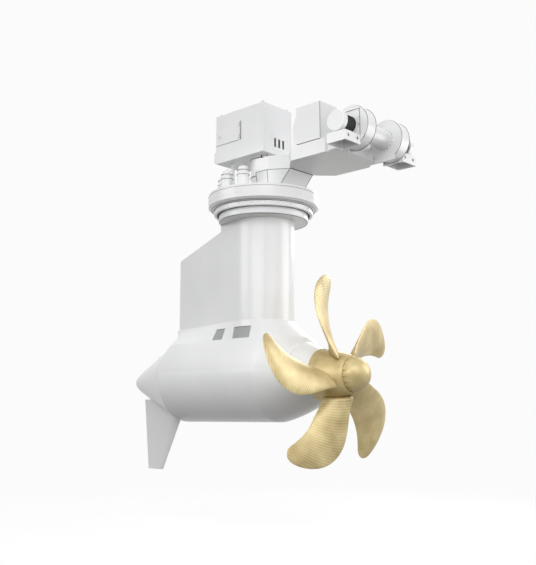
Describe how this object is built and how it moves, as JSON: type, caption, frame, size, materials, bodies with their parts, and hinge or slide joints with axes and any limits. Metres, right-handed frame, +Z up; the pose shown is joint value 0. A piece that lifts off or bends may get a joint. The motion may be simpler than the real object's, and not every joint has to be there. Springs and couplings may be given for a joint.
{
  "type": "podded propulsion unit",
  "caption": "Steerable electric propulsion pod for a ship: hull ring with slewing drives, strut, motor pod with fin and pulling propeller, with cooling-air and slip-ring units on top.",
  "frame": {"origin": "centre of the hull bolt circle, on the upper seat face of the big ring", "axes": "+Z up along the steering axis, +X ahead along the shaft line towards the propeller, +Y to port"},
  "size_m": [11.578, 5.9161, 12.034],
  "materials": {
    "white_paint": "smooth glossy white marine paint",
    "grey_paint": "satin grey paint",
    "dark_paint": "satin dark grey paint on finned castings",
    "bronze": "golden bronze, finely milled and lightly polished",
    "bolt_steel": "plain steel",
    "bearing_steel": "ground and greased steel",
    "seal_rubber": "matt black rubber",
    "slip_ring_brass": "turned brass rings on a steel tube",
    "fan_metal": "plain sheet aluminium",
    "cast_frame": "rough cast, primed",
    "core_iron": "varnished laminated iron"
  },
  "bodies": {
    "ship_side": {"casing_ring": "white_paint", "casing_deck": "white_paint", "race_lower": "white_paint", "race_upper": "white_paint", "race_bolts": "bolt_steel", "bearing_rollers": "bearing_steel", "slewing_seal": "seal_rubber", "steering_gearboxes": "white_paint", "steering_motors": "white_paint", "slip_column": "white_paint", "slip_brushes": "dark_paint", "cabinet": "white_paint", "cabinet_vent": "white_paint", "cabinet_posts": "white_paint", "hatch_hinges": "bolt_steel", "air_funnel": "white_paint", "air_plenum": "white_paint", "cooler_boxes": "white_paint", "fan_link_duct": "white_paint", "fan_casing_left": "white_paint", "fan_casing_right": "white_paint", "fan_motor_left": "dark_paint", "fan_motor_right": "dark_paint", "fan_motor_cowls": "white_paint", "fan_beds": "white_paint"},
    "turning_pod": {"slewing_inner_gear": "bearing_steel", "slip_tube": "slip_ring_brass", "strut_flange": "white_paint", "strut_flange_bolts": "bolt_steel", "strut_casing": "white_paint", "strut_skirt": "white_paint", "pocket_covers": "grey_paint", "nacelle_shell": "white_paint", "tail_cone": "white_paint", "tail_fin": "white_paint", "nose_shield": "white_paint", "rear_shield": "cast_frame", "motor_stator": "core_iron", "propeller_bearing": "bearing_steel", "thrust_bearing": "bearing_steel", "shaft_seal": "seal_rubber"},
    "propeller": {"propeller_shaft": "bearing_steel", "motor_rotor": "core_iron", "propeller_hub": "bronze", "hub_cap": "bronze", "propeller_blade_1": "bronze", "propeller_blade_2": "bronze", "propeller_blade_3": "bronze", "propeller_blade_4": "bronze", "propeller_blade_5": "bronze"},
    "hatch": {"cabinet_hatch": "white_paint"},
    "fan_wheel_left": {"fan_wheel_left": "fan_metal"},
    "fan_wheel_right": {"fan_wheel_right": "fan_metal"},
    "steering_pinion_1": {"steering_pinion_1": "bearing_steel"},
    "steering_pinion_2": {"steering_pinion_2": "bearing_steel"},
    "steering_pinion_3": {"steering_pinion_3": "bearing_steel"},
    "steering_pinion_4": {"steering_pinion_4": "bearing_steel"},
    "steering_pinion_5": {"steering_pinion_5": "bearing_steel"},
    "steering_pinion_6": {"steering_pinion_6": "bearing_steel"}
  },
  "joints": [
    {"name": "azimuth", "type": "hinge", "parent": "ship_side", "child": "turning_pod", "pos_m": [0, 0, 0], "axis": [0, 0, 1], "continuous": true},
    {"name": "propeller_spin", "type": "hinge", "parent": "turning_pod", "child": "propeller", "pos_m": [0, 0, -5.99], "axis": [1, 0, 0], "continuous": true},
    {"name": "pinion_1_spin", "type": "hinge", "parent": "ship_side", "child": "steering_pinion_1", "pos_m": [0.32176, -1.29049, 0], "axis": [0, 0, 1], "continuous": true},
    {"name": "pinion_2_spin", "type": "hinge", "parent": "ship_side", "child": "steering_pinion_2", "pos_m": [-0.43301, -1.25754, 0], "axis": [0, 0, 1], "continuous": true},
    {"name": "pinion_3_spin", "type": "hinge", "parent": "ship_side", "child": "steering_pinion_3", "pos_m": [-1.04805, -0.81883, 0], "axis": [0, 0, 1], "continuous": true},
    {"name": "pinion_4_spin", "type": "hinge", "parent": "ship_side", "child": "steering_pinion_4", "pos_m": [0.32176, 1.29049, 0], "axis": [0, 0, 1], "continuous": true},
    {"name": "pinion_5_spin", "type": "hinge", "parent": "ship_side", "child": "steering_pinion_5", "pos_m": [-0.43301, 1.25754, 0], "axis": [0, 0, 1], "continuous": true},
    {"name": "pinion_6_spin", "type": "hinge", "parent": "ship_side", "child": "steering_pinion_6", "pos_m": [-1.04805, 0.81883, 0], "axis": [0, 0, 1], "continuous": true},
    {"name": "fan_left_spin", "type": "hinge", "parent": "ship_side", "child": "fan_wheel_left", "pos_m": [4.459, 0.85, 1.092], "axis": [0, 1, 0], "continuous": true},
    {"name": "fan_right_spin", "type": "hinge", "parent": "ship_side", "child": "fan_wheel_right", "pos_m": [4.459, -0.85, 1.092], "axis": [0, 1, 0], "continuous": true},
    {"name": "hatch_swing", "type": "hinge", "parent": "ship_side", "child": "hatch", "pos_m": [-0.462, -0.718, 2.2], "axis": [0, 0, 1], "range_deg": [0, 110]}
  ],
  "couplings": [
    {"joint": "pinion_1_spin", "follows": "azimuth", "ratio": 12.083},
    {"joint": "pinion_2_spin", "follows": "azimuth", "ratio": 12.083},
    {"joint": "pinion_3_spin", "follows": "azimuth", "ratio": 12.083},
    {"joint": "pinion_4_spin", "follows": "azimuth", "ratio": 12.083},
    {"joint": "pinion_5_spin", "follows": "azimuth", "ratio": 12.083},
    {"joint": "pinion_6_spin", "follows": "azimuth", "ratio": 12.083}
  ]
}
